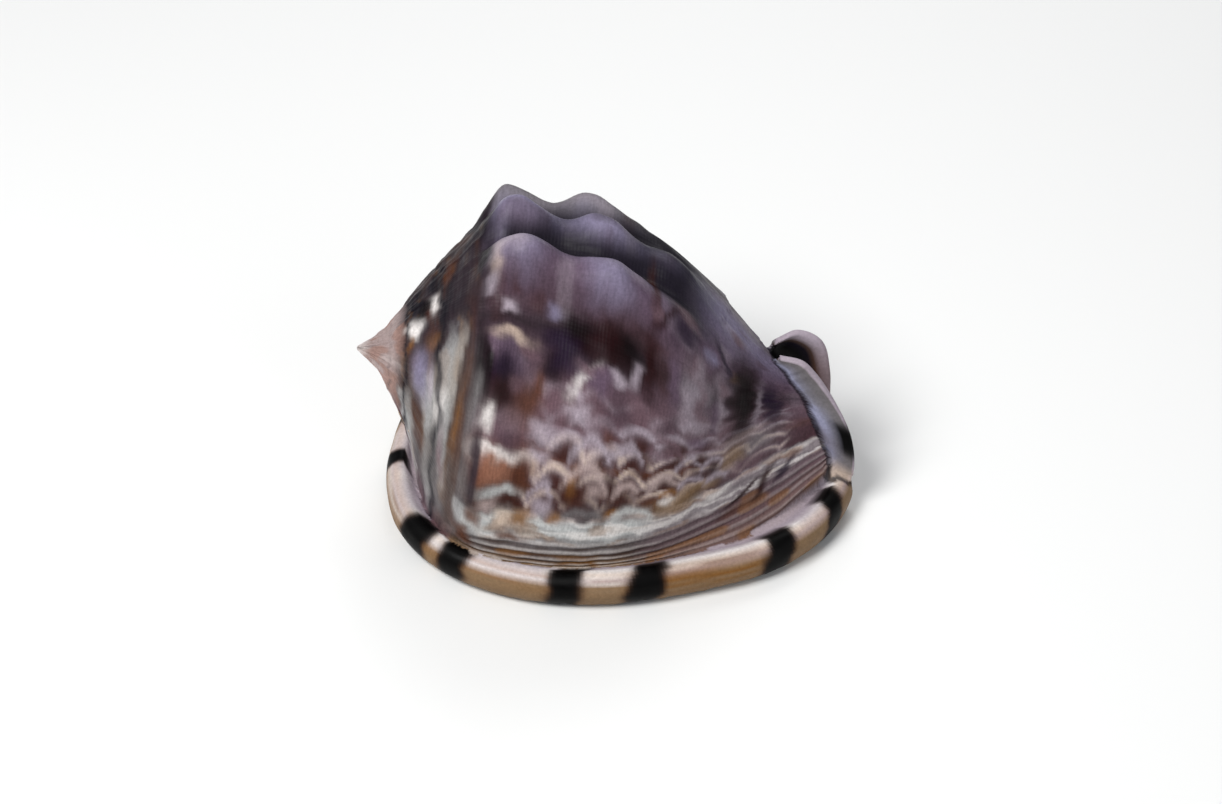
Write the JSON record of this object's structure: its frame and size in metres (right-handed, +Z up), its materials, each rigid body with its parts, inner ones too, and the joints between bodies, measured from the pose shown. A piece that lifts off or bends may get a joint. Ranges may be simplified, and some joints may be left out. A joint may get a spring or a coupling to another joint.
{
  "type": "king helmet shell",
  "caption": "Large sea snail shell with a knobbed domed body, short spire, flared toothed lip and shield, and an upturned canal; lies on its flat underside.",
  "frame": {"origin": "on the resting plane, under the middle of the shell's bounding box", "axes": "+Z up, +X along the shell from the spire to the siphonal canal, -Y towards the outer lip"},
  "size_m": [0.1904, 0.1383, 0.1281],
  "materials": {
    "shell": "semi-gloss mottled shell"
  },
  "bodies": {
    "root": {"shell": "shell"}
  },
  "joints": []
}
